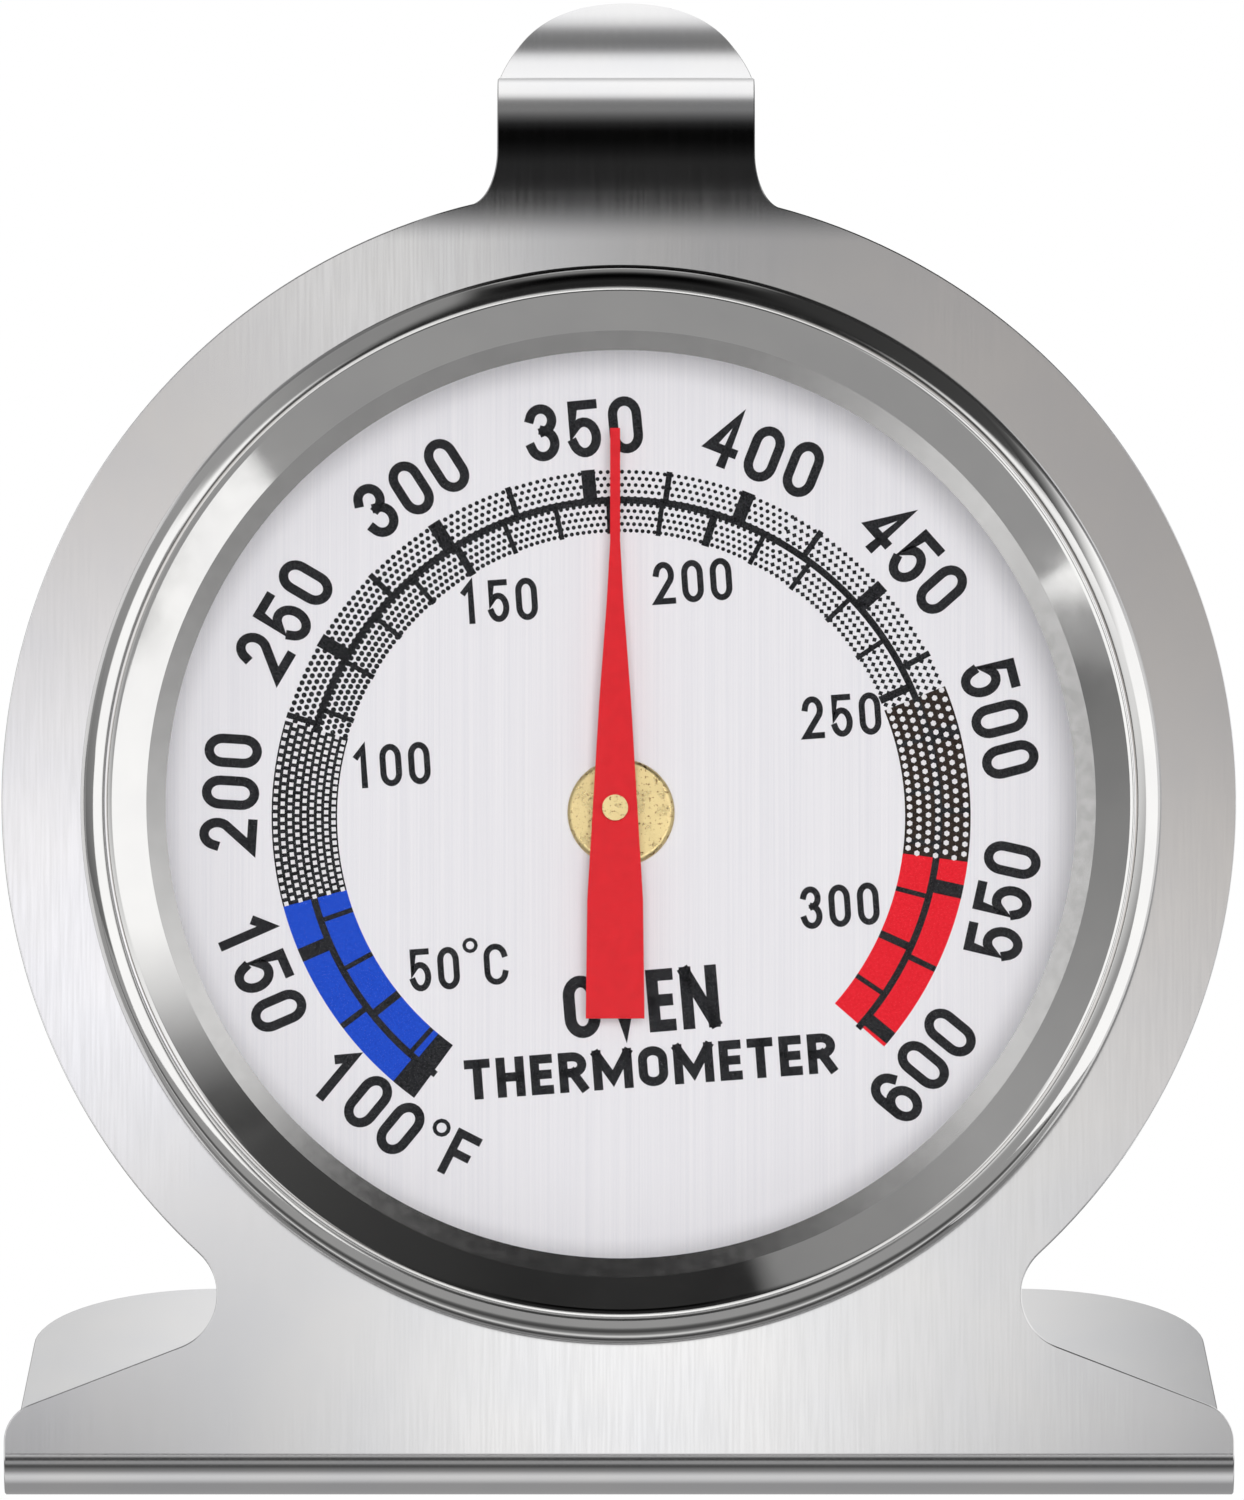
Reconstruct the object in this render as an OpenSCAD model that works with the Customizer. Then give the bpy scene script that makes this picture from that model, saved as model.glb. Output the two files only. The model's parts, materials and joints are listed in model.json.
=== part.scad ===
// Stand-or-hang oven thermometer: a round bimetal dial in a pressed steel case, held in a
// one-piece stainless stand with a hook. Millimetres, +Z up, the face looks towards -Y.
// The origin is the centre of the foot's underside.

/* [Stand] */
// Radius of the round plate around the case
plate_r = 31; // [30.5:0.5:33]
// Thickness of the stainless sheet
sheet_t = 0.5; // [0.4:0.05:0.6]
// How far the plate leans back from upright, in degrees
lean = 20; // [16:1:24]
// Distance down the plate from its centre to the bend into the foot
plate_drop = 32.75; // [32.5:0.25:36]
// Outer radius of the bend into the foot
foot_bend_r = 2; // [1.5:0.25:3]
// Half the width of the foot
foot_half_w = 30.8; // [29.5:0.1:33]
// Depth of the foot, from the front of its bend to its rear edge
foot_depth = 35; // [32:1:42]
// Radius of the foot's rear corners
foot_corner_r = 9.5; // [3:0.5:14]
// How much the foot narrows on each side towards its rear corners
foot_taper = 0.7; // [0:0.1:1.5]
// Half the width of the neck between plate and foot
neck_half_w = 20.15; // [18:0.25:21]
// Radius of the notch beside the neck
notch_r = 2.8; // [2:0.2:3.4]
// Slope of the foot's shoulders, in degrees
shoulder_slope = 21; // [16:1:24]
// Radius of the shoulder's outer corner
shoulder_r = 2; // [1:0.25:2.5]

/* [Hook] */
// Width of the hook
hook_w = 13; // [10:0.5:13]
// Sideways place of the hook on the plate
hook_x = 0.35; // [-1:0.05:1]
// Radius of the fillets where the hook leaves the plate
hook_fillet_r = 1.5; // [1:0.25:2]
// Length of the straight end of the hook
hook_end = 2.8; // [2:0.1:6]
// Radius that rounds the hook's end
hook_end_r = 7; // [6.8:0.1:9]

/* [Case] */
// Thickness of the case's pressed steel
skin_t = 0.4; // [0.3:0.05:0.45]
// Radius of the case over the bezel's outer rim
rim_r = 27.1; // [26.8:0.1:27.8]
// Radius of the window opening
lip_r = 22.9; // [22:0.1:23.2]
// Slope of the bezel's funnel from the plane of the face, in degrees
funnel_slope = 39; // [36:0.5:46]
// How far the bezel's rim stands in front of the plate
rim_h = 2.5; // [2.2:0.1:3]
// Sideways place of the case on the plate
case_x = 0.1; // [-0.3:0.05:0.3]
// How far the case sits below the plate's centre
case_drop = 0.2; // [0:0.05:0.6]
// Depth of the case behind the plate's front face
case_depth = 10.5; // [10.5:0.25:14]

/* [Dial and movement] */
// Thickness of the window glass
glass_t = 1.4; // [1:0.1:1.6]
// Gap between the glass and the dial
dial_gap = 1.8; // [1.7:0.1:2.4]
// Thickness of the dial plate
dial_t = 0.4; // [0.3:0.05:0.5]
// Sideways place of the pointer's axis from the dial's centre
pivot_x = -0.3; // [-0.4:0.05:0.4]
// Height of the pointer's axis above the dial's centre
pivot_y = -0.05; // [-0.3:0.05:0.3]
// How far the bush's flange sits below the dial's centre
flange_drop = 0.2; // [0:0.05:0.4]
// Radius of the arbor
arbor_r = 0.75; // [0.7:0.05:0.9]
// Radial clearance of the arbor in its bearings
running_gap = 0.05; // [0.02:0.01:0.08]
// Reach of the pointer above its axis
pointer_reach = 19.2; // [17:0.2:20.4]
// Length of the pointer's tail below its axis
pointer_tail = 10.6; // [8:0.2:12]
// Number of turns of the bimetal coil
coil_turns = 6; // [4:1:6]
// Thickness of the bimetal strip
strip_t = 0.2; // [0.15:0.05:0.3]

/* [Hidden] */
$fn = 96;

// Stand: places along the plate and the foot
foot_front = -foot_depth / 2;
bend_y = foot_front + foot_bend_r;
plate_y = bend_y - foot_bend_r * cos(lean) + plate_drop * sin(lean);
plate_z = foot_bend_r * (1 + sin(lean)) + plate_drop * cos(lean);
hook_start = plate_r - 0.3;
// What is trimmed off the hook's end when it is rounded
hook_trim = 0.2;
// The sheet's stretches up from the plate's centre and down from it, each a straight length,
// then a bend with its centreline radius and its turn in degrees, anticlockwise seen from +X
hook_stretches = [
    [hook_start, 6.9, -45], [0, 7.5, -25], [0, 3.2, -55], [0, 3.5, 65], [0, 12, 25],
    [hook_end + hook_trim, 0, 0]
];
foot_stretches = [[plate_drop, foot_bend_r - sheet_t / 2, 90 + lean], [foot_depth - foot_bend_r, 0, 0]];

// Stand: the notch beside the neck, the shoulder and the hook's fillet
notch = [neck_half_w + notch_r, -sqrt(pow(plate_r + notch_r, 2) - pow(neck_half_w + notch_r, 2))];
notch_top = notch * plate_r / (plate_r + notch_r);
notch_foot = notch - notch_r * [sin(shoulder_slope), cos(shoulder_slope)];
shoulder_tip = [foot_half_w, notch_foot.y - (foot_half_w - notch_foot.x) * tan(shoulder_slope)];
shoulder_cut = shoulder_r * tan(45 - shoulder_slope / 2);
fillet_x = hook_w / 2 + hook_fillet_r;
fillet_y = sqrt(pow(plate_r + hook_fillet_r, 2) - pow(fillet_x, 2));

// Case: radii, and heights along the face's normal, 0 at the plate's front face
plate_hole_r = 25.65;
tube_r = 25.2;
back_tube_r = tube_r + skin_t + 0.05;
back_flange_r = 28.2;
can_r = 24.2;
fold_r = 0.4;
rim_round_r = 1.1;
crest_r = 0.35;
funnel_foot_r = 23.9;
lip_fall = 0.3;
crest = [rim_r - skin_t / 2 - rim_round_r, rim_h - skin_t / 2];
funnel_top = crest - crest_r * [sin(funnel_slope), 1 - cos(funnel_slope)];
funnel_foot = [funnel_foot_r, funnel_top.y - (funnel_top.x - funnel_foot_r) * tan(funnel_slope)];
glass_front = funnel_foot.y - lip_fall - skin_t / 2;
glass_back = glass_front - glass_t;
dial_front = glass_back - dial_gap;
dial_back = dial_front - dial_t;
inner_r = 24.8;
ring_w = 1;
vent_r = 1.3;
vent_circle_r = 17.5;
vent_count = 6;

// Movement: heights and radii around the pointer's axis
flange_r = 2.7;
flange_t = 0.35;
bush_r = 1.3;
bracket_t = 0.5;
bracket_w = 5;
bracket_back = dial_back - bracket_t;
washer_t = 0.25;
stake_t = 0.25;
end_play = 0.05;
hub_back = dial_front + flange_t + end_play;
hub_t = 0.5;
hub_r = 1.1;
spigot_r = arbor_r - 0.1;
pointer_t = 0.2;
pointer_back = hub_back + hub_t;
spigot_end = pointer_back + pointer_t + 0.35;
rear_leg_front = bracket_back - 4.3;
arbor_back = rear_leg_front + 0.1;
rear_pivot_r = 0.5;
coil_pitch = 1.5;
collet_r = 1.65;
coil_front = bracket_back - 0.95;
coil_w = 3;
coil_start_r = collet_r + strip_t / 2;
coil_end_r = coil_start_r + coil_pitch * coil_turns;
leg_inner = coil_end_r + strip_t / 2;
rivet_r = 0.5;
rivet_x = -0.8;

// The plane's direction at an angle
function toward(a) = [cos(a), sin(a)];
// An arc of a path in the plane, in steps of about 10 degrees
function arc(c, r, from, to) =
    let (steps = max(6, ceil(abs(to - from) / 10)))
    [for (i = [0 : steps]) c + r * toward(from + (to - from) * i / steps)];
// A path that goes through stretches from index i on, starting at p and heading at angle a
function walk(p, a, stretches, i = 0) =
    i == len(stretches) ? [p] :
    let (
        s = stretches[i], side = sign(s[2]),
        q = p + s[0] * toward(a),
        c = q + side * s[1] * toward(a + 90),
        bend = s[1] > 0 ? arc(c, s[1], a - 90 * side, a - 90 * side + s[2]) : [q]
    )
    concat(
        s[0] > 0 ? [p] : [],
        [for (k = [0 : 1 : len(bend) - 2]) bend[k]],
        walk(bend[len(bend) - 1], a + s[2], stretches, i + 1)
    );
function unit(v) = v / norm(v);
function heading(p, i) = unit(
    (i > 0 ? unit(p[i] - p[i - 1]) : [0, 0]) + (i < len(p) - 1 ? unit(p[i + 1] - p[i]) : [0, 0])
);
function beside(p, d) = [for (i = [0 : len(p) - 1]) p[i] + d * [-heading(p, i).y, heading(p, i).x]];
function reversed(p) = [for (i = [len(p) - 1 : -1 : 0]) p[i]];
function mirrored(p) = [for (i = [len(p) - 1 : -1 : 0]) [-p[i].x, p[i].y]];

// The cut section of a sheet of thickness t, bent along a centreline path
module section(path, t) {
    polygon(concat(beside(path, t / 2), reversed(beside(path, -t / 2))));
}

// A sheet of width w bent along a path whose first coordinate is +Y and second +Z
module bent_sheet(path, t, w) {
    rotate([90, 0, 90]) translate([0, 0, -w / 2]) linear_extrude(w) section(path, t);
}

// The plate's frame: +Y up the plate, +Z out of its front face, origin at its centre
module on_plate() {
    translate([0, plate_y, plate_z]) rotate([90 - lean, 0, 0]) children();
}

// The case's frame, around the centre of the dial
module in_case() {
    on_plate() translate([case_x, -case_drop, 0]) children();
}

// The same frame, around the pointer's axis
module on_axis() {
    in_case() translate([pivot_x, pivot_y, 0]) children();
}

// A disc or ring between two heights
module ring(r_out, r_in, from, to) {
    translate([0, 0, from]) difference() {
        cylinder(r = r_out, h = to - from);
        if (r_in > 0) translate([0, 0, -1]) cylinder(r = r_in, h = to - from + 2);
    }
}

// The plate, its apron down to the foot's bend and the hook's root, seen from the front
module front_outline() {
    right = [
        notch_top, notch_foot,
        shoulder_tip + shoulder_cut * [-cos(shoulder_slope), sin(shoulder_slope)],
        shoulder_tip - [0, shoulder_cut],
        [foot_half_w, -plate_drop - 0.5]
    ];
    circle(plate_r);
    difference() {
        polygon(concat(right, mirrored(right)));
        for (side = [-1, 1]) translate([side * notch.x, notch.y]) circle(notch_r);
    }
    for (side = [-1, 1]) {
        translate([side * (foot_half_w - shoulder_r), shoulder_tip.y - shoulder_cut]) circle(shoulder_r);
    }
    translate([hook_x, 0]) hook_outline();
}

module hook_outline() {
    root_half_w = fillet_x * plate_r / (plate_r + hook_fillet_r);
    difference() {
        translate([-root_half_w, plate_r - 3]) square([2 * root_half_w, fillet_y - plate_r + 3]);
        for (side = [-1, 1]) translate([side * fillet_x, fillet_y]) circle(hook_fillet_r);
    }
    translate([-hook_w / 2, plate_r - 3]) square([hook_w, 20]);
}

module foot_outline() {
    rear = foot_depth / 2;
    rear_half_w = foot_half_w - foot_taper;
    corner = [rear_half_w - foot_corner_r, rear - foot_corner_r];
    right = [
        [corner.x, rear], corner, [rear_half_w, corner.y],
        [foot_half_w, bend_y], [foot_half_w, foot_front - 1]
    ];
    for (side = [-1, 1]) translate([side * corner.x, corner.y]) circle(foot_corner_r);
    polygon(concat(right, mirrored(right)));
}

// What rounding the hook's end takes away, seen from the end's own frame
module hook_end_corners() {
    translate([0, -hook_end_r - hook_trim, -2]) difference() {
        translate([-hook_w, 0, 0]) cube([2 * hook_w, 2 * hook_end_r, 4]);
        translate([0, 0, -1]) cylinder(r = hook_end_r, h = 6);
    }
}

module stand() {
    middle = [0, -sheet_t / 2];
    up = walk(middle, 0, hook_stretches);
    down = walk(middle, 180, foot_stretches);
    last = len(up) - 1;
    hook_tip = up[last];
    hook_angle = atan2(hook_tip.y - up[last - 1].y, hook_tip.x - up[last - 1].x);
    path = concat(reversed(down), [for (i = [1 : last]) up[i]]);
    hook_depth = 22;
    color([0.78, 0.77, 0.78]) difference() {
        intersection() {
            on_plate() bent_sheet(path, sheet_t, 3 * foot_half_w);
            union() {
                on_plate() translate([0, 0, -hook_depth]) linear_extrude(hook_depth + 1) front_outline();
                translate([0, 0, -1]) linear_extrude(foot_bend_r * (1 + sin(lean)) + 1.5) foot_outline();
            }
        }
        in_case() translate([0, 0, -2]) cylinder(r = plate_hole_r, h = 4);
        on_plate() translate([hook_x, hook_tip.x, hook_tip.y]) rotate([hook_angle, 0, 0])
            hook_end_corners();
    }
}

// Front shell: a tube through the plate, folded out over it and back in as a funnel to the window
module bezel() {
    wall = rim_r - skin_t / 2;
    face = skin_t / 2;
    path = concat(
        [[tube_r, dial_back + 0.1]],
        arc([tube_r + fold_r, face - fold_r], fold_r, 180, 90),
        arc([wall - fold_r, face + fold_r], fold_r, -90, 0),
        arc(crest - [0, rim_round_r], rim_round_r, 0, 80),
        arc(crest - [0, crest_r], crest_r, 90, 90 + funnel_slope),
        [funnel_foot, [lip_r, funnel_foot.y - lip_fall]]
    );
    color([0.8, 0.78, 0.74]) in_case() rotate_extrude() section(path, skin_t);
}

module window_glass() {
    color([0.85, 0.92, 0.9, 0.35]) in_case() ring(inner_r, 0, glass_back, glass_front);
}

// Keeps the glass against the bezel's lip and the dial off the pointer
module spacer_ring() {
    color([0.7, 0.7, 0.7]) in_case() ring(inner_r, inner_r - ring_w, dial_front, glass_back);
}

module dial_plate() {
    color([0.88, 0.88, 0.9]) {
        difference() {
            in_case() ring(inner_r, 0, dial_back, dial_front);
            on_axis() translate([0, 0, dial_back - 1]) cylinder(r = bush_r, h = dial_t + 2);
        }
    }
}

// Rear shell: pressed over the bezel's tube, its flange behind the plate, its ledge behind the dial
module case_back() {
    flange = -sheet_t - skin_t / 2;
    ledge = dial_back - skin_t / 2;
    floor_w = skin_t / 2 - case_depth;
    corner_r = 1.5;
    path = concat(
        [[back_flange_r, flange]],
        arc([back_tube_r + fold_r, flange - fold_r], fold_r, 90, 180),
        arc([back_tube_r - fold_r, ledge + fold_r], fold_r, 0, -90),
        arc([can_r + fold_r, ledge - fold_r], fold_r, 90, 180),
        arc([can_r - corner_r, floor_w + corner_r], corner_r, 0, -90),
        [[13, floor_w], [12.2, floor_w - 0.6], [0, floor_w - 0.6]]
    );
    color([0.72, 0.72, 0.72]) in_case() difference() {
        rotate_extrude() section(path, skin_t);
        for (i = [0 : vent_count - 1]) rotate([0, 0, i * 360 / vent_count])
            translate([0, vent_circle_r, -case_depth - 1]) cylinder(r = vent_r, h = 3);
    }
}

// Brass bearing: a flange in front of the dial, its body through dial and bracket, staked behind
module bearing_bush() {
    round_r = 0.25;
    profile = concat(
        [[0, dial_front], [flange_r, dial_front]],
        arc([flange_r - round_r, dial_front + flange_t - round_r], round_r, 0, 90),
        [[0, dial_front + flange_t]]
    );
    stake_front = bracket_back - washer_t;
    color([0.88, 0.76, 0.5]) difference() {
        union() {
            in_case() translate([0, -flange_drop, 0]) rotate_extrude() polygon(profile);
            on_axis() ring(bush_r, 0, stake_front, dial_front);
            on_axis() ring(bush_r + 0.3, 0, stake_front - stake_t, stake_front);
        }
        on_axis() translate([0, 0, stake_front - 1]) cylinder(r = arbor_r + running_gap, h = 4);
    }
}

module bush_washer() {
    color([0.75, 0.75, 0.76]) on_axis() ring(2.2, bush_r, bracket_back - washer_t, bracket_back);
}

// U-shaped bracket: the bush holds its front leg, its rear leg bears the arbor's end
module coil_bracket() {
    leg = leg_inner + bracket_t / 2;
    bend_r = 0.8;
    side = bracket_back - rear_leg_front + bracket_t;
    path = walk([3.5, dial_back - bracket_t / 2], 180, [
        [3.5 + leg - bend_r, bend_r, 90], [side - 2 * bend_r, bend_r, 90], [leg - bend_r + 2.5, 0, 0]
    ]);
    color([0.7, 0.71, 0.72]) on_axis() difference() {
        bent_sheet(path, bracket_t, bracket_w);
        translate([0, 0, bracket_back - 0.1]) cylinder(r = bush_r, h = 1);
        translate([0, 0, rear_leg_front - 1]) cylinder(r = rear_pivot_r + running_gap, h = 1.1);
        translate([rivet_x, 1 - leg_inner, coil_front - coil_w / 2]) rotate([90, 0, 0])
            cylinder(r = rivet_r, h = 3);
    }
}

// Flat spiral of bimetal strip: half turns of growing radius about two centres, and a riveted end
module bimetal_coil() {
    color([0.62, 0.55, 0.42]) on_axis() translate([0, 0, coil_front - coil_w]) difference() {
        rotate([0, 0, -90]) for (k = [0 : 2 * coil_turns - 1]) {
            r = coil_start_r + k * coil_pitch / 2;
            odd = k % 2;
            translate([odd * coil_pitch / 2, 0, 0]) rotate([0, 0, odd * 180])
                rotate_extrude(angle = 180) translate([r - strip_t / 2, 0]) square([strip_t, coil_w]);
        }
        translate([rivet_x, -coil_end_r, coil_w / 2]) rotate([90, 0, 0])
            cylinder(r = rivet_r, h = 2, center = true);
    }
}

// Rivet that fastens the coil's outer end to the bracket, with a head inside and one outside
module coil_rivet() {
    head_r = 0.7;
    head_t = 0.25;
    curve_room = 0.14;
    inner = leg_inner - strip_t - curve_room;
    outer = leg_inner + bracket_t;
    color([0.8, 0.8, 0.8]) on_axis() translate([rivet_x, 0, coil_front - coil_w / 2]) rotate([90, 0, 0]) {
        translate([0, 0, inner - head_t]) cylinder(r = head_r, h = head_t);
        translate([0, 0, inner - 0.01]) cylinder(r = rivet_r, h = outer - inner + 0.02);
        translate([0, 0, outer]) cylinder(r = head_r, h = head_t);
    }
}

// Spindle that carries the pointer in front and the coil's inner end behind
module arbor() {
    color([0.85, 0.72, 0.45]) on_axis() {
        ring(arbor_r, 0, arbor_back, hub_back);
        ring(spigot_r, 0, hub_back, spigot_end);
        ring(rear_pivot_r, 0, rear_leg_front - bracket_t - 0.1, arbor_back);
    }
}

// Collar on the arbor that grips the coil's inner end
module coil_collet() {
    color([0.8, 0.68, 0.42]) on_axis()
        ring(collet_r, arbor_r, coil_front - coil_w - 0.1, coil_front + 0.1);
}

module pointer_hub() {
    color([0.85, 0.72, 0.45]) on_axis() ring(hub_r, spigot_r, hub_back, pointer_back);
}

// Red pointer: a thin blade that widens from its needle to its tail
module pointer() {
    needle_half_w = 0.25;
    right = [
        [needle_half_w, pointer_reach], [needle_half_w, 13.5], [0.43, 10.3],
        [0.8, 5.4], [1.12, 0], [1.4, -4.6], [1.475, -pointer_tail]
    ];
    color([0.84, 0.12, 0.16]) on_axis() translate([0, 0, pointer_back]) linear_extrude(pointer_t)
        difference() {
            polygon(concat(right, mirrored(right)));
            circle(spigot_r);
        }
}

stand();
bezel();
window_glass();
spacer_ring();
dial_plate();
case_back();
bearing_bush();
bush_washer();
coil_bracket();
bimetal_coil();
coil_rivet();
arbor();
coil_collet();
pointer_hub();
pointer();
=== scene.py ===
"""Oven thermometer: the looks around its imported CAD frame.

Lengths are millimetres in the face's frame: x to the right, u up the plate, w out of its front.
The matrix FACE takes them to the scene's metres.
"""

import json
from math import asin, atan2, ceil, cos, degrees, pi, radians, sin, sqrt, tan

import bmesh
import bpy
from mathutils import Matrix, Vector


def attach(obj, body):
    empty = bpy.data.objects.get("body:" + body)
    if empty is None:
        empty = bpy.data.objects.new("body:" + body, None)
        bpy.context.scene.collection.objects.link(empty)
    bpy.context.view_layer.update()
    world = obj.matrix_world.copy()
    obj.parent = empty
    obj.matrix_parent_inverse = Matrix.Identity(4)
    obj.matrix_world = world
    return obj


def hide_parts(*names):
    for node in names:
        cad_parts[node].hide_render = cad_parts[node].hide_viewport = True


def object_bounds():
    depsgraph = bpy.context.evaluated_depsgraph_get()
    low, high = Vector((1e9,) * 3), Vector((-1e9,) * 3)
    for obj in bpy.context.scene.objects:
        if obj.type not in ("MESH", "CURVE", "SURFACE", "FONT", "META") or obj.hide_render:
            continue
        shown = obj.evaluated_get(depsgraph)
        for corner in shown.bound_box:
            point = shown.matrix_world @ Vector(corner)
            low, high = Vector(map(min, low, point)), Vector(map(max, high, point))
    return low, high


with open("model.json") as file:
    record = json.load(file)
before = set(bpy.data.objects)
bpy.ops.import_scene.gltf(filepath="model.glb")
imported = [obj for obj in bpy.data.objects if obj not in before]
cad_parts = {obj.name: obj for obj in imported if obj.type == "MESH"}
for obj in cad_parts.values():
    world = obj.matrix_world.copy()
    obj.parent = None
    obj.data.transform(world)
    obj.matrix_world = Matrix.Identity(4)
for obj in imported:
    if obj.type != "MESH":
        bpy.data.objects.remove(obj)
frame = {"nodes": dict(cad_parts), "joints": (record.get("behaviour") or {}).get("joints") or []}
cad_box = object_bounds()

# ---- The face's frame, from the pointer's joint

joint = frame["joints"][0]
OUT = -Vector(joint["axis"])
ACROSS = Vector((1, 0, 0))
UP_PLATE = OUT.cross(ACROSS)
LEAN = degrees(asin(OUT.z))
MM = 0.001
# The joint's place on the pointer's axis, and the case's axis, from the plate's centre
PIVOT = Vector((-0.2, -0.25, -2))
CASE = Vector((0.1, -0.2))
FACE = (
    Matrix.Translation(joint["pos_m"])
    @ Matrix((ACROSS, UP_PLATE, OUT)).transposed().to_4x4()
    @ Matrix.Scale(MM, 4)
    @ Matrix.Translation(-PIVOT)
)
TO_FACE = FACE.inverted()


def heights(node):
    """How far behind and in front of the plate's front a CAD node reaches."""
    reach = [(TO_FACE @ v.co).z for v in frame["nodes"][node].data.vertices]
    return min(reach), max(reach)


# ---- Lines and outlines in a plane


def toward(angle):
    return Vector((cos(radians(angle)), sin(radians(angle))))


def arc(middle, radius, start, end, step=5):
    """Points of an arc, anticlockwise where end is above start."""
    steps = max(2, ceil(abs(end - start) / step))
    turn = (end - start) / steps
    return [Vector(middle) + radius * toward(start + turn * i) for i in range(steps + 1)]


def left_of(points, closed=False):
    """At each point of a line, the step to the left that keeps a ribbon's width even."""
    count = len(points)
    steps = []
    for i, point in enumerate(points):
        before = points[i - 1] if i or closed else None
        after = points[(i + 1) % count] if i < count - 1 or closed else None
        ways = [w.normalized() for w in (before and point - before, after and after - point) if w]
        middle = sum(ways, Vector((0, 0))).normalized()
        left = Vector((-middle.y, middle.x))
        steps.append(left / max(0.4, middle.dot(ways[0])))
    return steps


def thickened(points, thickness):
    """The closed section of a sheet around its centreline."""
    sides = left_of(points)
    left = [p + s * thickness / 2 for p, s in zip(points, sides)]
    right = [p - s * thickness / 2 for p, s in zip(points, sides)]
    return left + right[::-1]


# ---- Mesh pieces


def piece(name, mesh, body, material, sharp=35):
    """Makes a mesh, given in millimetres of the face's frame, into a piece on a body."""
    mesh.transform(FACE)
    mesh.shade_smooth()
    mesh.set_sharp_from_angle(angle=radians(sharp))
    mesh.materials.append(material)
    made = bpy.data.objects.new(name, mesh)
    bpy.context.scene.collection.objects.link(made)
    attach(made, body)
    return made


def mesh_from(bm, name):
    mesh = bpy.data.meshes.new(name)
    bm.normal_update()
    bm.to_mesh(mesh)
    bm.free()
    return mesh


def lathe(name, section, middle=CASE, steps=240):
    """A closed section of (radius, height) points, turned around an axis out of the face."""
    bm = bmesh.new()
    rings = []
    for i in range(steps):
        way = toward(360 * i / steps)
        ring = [(middle.x + r * way.x, middle.y + r * way.y, w) for r, w in section]
        rings.append([bm.verts.new(place) for place in ring])
    for i in range(steps):
        near, far = rings[i - 1], rings[i]
        for k in range(len(section)):
            bm.faces.new((near[k - 1], near[k], far[k], far[k - 1]))
    bmesh.ops.remove_doubles(bm, verts=bm.verts, dist=0.0001)
    bmesh.ops.dissolve_degenerate(bm, edges=bm.edges, dist=0.0001)
    bmesh.ops.recalc_face_normals(bm, faces=bm.faces)
    return mesh_from(bm, name)


def even_shading(made):
    made.modifiers.new("even_shading", "WEIGHTED_NORMAL").keep_sharp = True


# ---- Materials

# Noise seldom goes past these
NOISE_LOW = 0.35
NOISE_HIGH = 0.65


class Recipe:
    """A node material: a shader and the procedural nodes that feed it."""

    def __init__(self, name, colour, **settings):
        self.material = bpy.data.materials.new(name)
        self.material.use_nodes = True
        self.tree = self.material.node_tree
        self.shader = self.tree.nodes["Principled BSDF"]
        self.shader.inputs["Base Color"].default_value = (*colour, 1)
        for socket, value in settings.items():
            self.shader.inputs[socket.replace("_", " ")].default_value = value
        self.place = self.tree.nodes.new("ShaderNodeTexCoord").outputs["Object"]

    def noise(self, size, stretch=(1, 1, 1), detail=3):
        """Noise whose features are about size millimetres, drawn out along each axis by stretch."""
        mapping = self.tree.nodes.new("ShaderNodeMapping")
        mapping.inputs["Rotation"].default_value = (radians(LEAN), 0, 0)
        mapping.inputs["Scale"].default_value = [1 / (MM * size * s) for s in stretch]
        texture = self.tree.nodes.new("ShaderNodeTexNoise")
        texture.inputs["Scale"].default_value = 1
        texture.inputs["Detail"].default_value = detail
        self.tree.links.new(self.place, mapping.inputs["Vector"])
        self.tree.links.new(mapping.outputs["Vector"], texture.inputs["Vector"])
        return texture.outputs["Fac"]

    def vary_colour(self, factor, low, high, start=NOISE_LOW, end=NOISE_HIGH):
        """Colour from low to high as the factor goes from start to end."""
        tint = self.tree.nodes.new("ShaderNodeValToRGB")
        first, last = tint.color_ramp.elements
        first.position = start
        first.color = (*low, 1)
        last.position = end
        last.color = (*high, 1)
        self.tree.links.new(factor, tint.inputs["Fac"])
        self.tree.links.new(tint.outputs["Color"], self.shader.inputs["Base Color"])

    def vary_roughness(self, factor, low, high):
        limits = {"From Min": NOISE_LOW, "From Max": NOISE_HIGH, "To Min": low, "To Max": high}
        rough = self.tree.nodes.new("ShaderNodeMapRange")
        for socket, value in limits.items():
            rough.inputs[socket].default_value = value
        self.tree.links.new(factor, rough.inputs["Value"])
        self.tree.links.new(rough.outputs["Result"], self.shader.inputs["Roughness"])

    def bump(self, factor, depth):
        """Relief, depth in millimetres."""
        relief = self.tree.nodes.new("ShaderNodeBump")
        relief.inputs["Distance"].default_value = MM * depth
        self.tree.links.new(factor, relief.inputs["Height"])
        self.tree.links.new(relief.outputs["Normal"], self.shader.inputs["Normal"])


def satin_steel():
    """Rolled stainless sheet with a fine grain along its length."""
    recipe = Recipe("satin_steel", (0.64, 0.64, 0.65), Metallic=1)
    grain = recipe.noise(0.12, (1, 30, 30))
    recipe.vary_colour(recipe.noise(6), (0.63, 0.63, 0.64), (0.655, 0.65, 0.65))
    recipe.vary_roughness(grain, 0.11, 0.14)
    recipe.bump(grain, 0.0002)
    return recipe.material


def bright_steel():
    """Polished stainless with the faint unevenness of spinning and pressing."""
    recipe = Recipe("bright_steel", (0.66, 0.655, 0.65), Metallic=1)
    recipe.vary_colour(recipe.noise(4), (0.645, 0.64, 0.635), (0.675, 0.67, 0.66))
    recipe.vary_roughness(recipe.noise(1.5), 0.07, 0.1)
    recipe.bump(recipe.noise(3, detail=1), 0.002)
    return recipe.material


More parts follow.
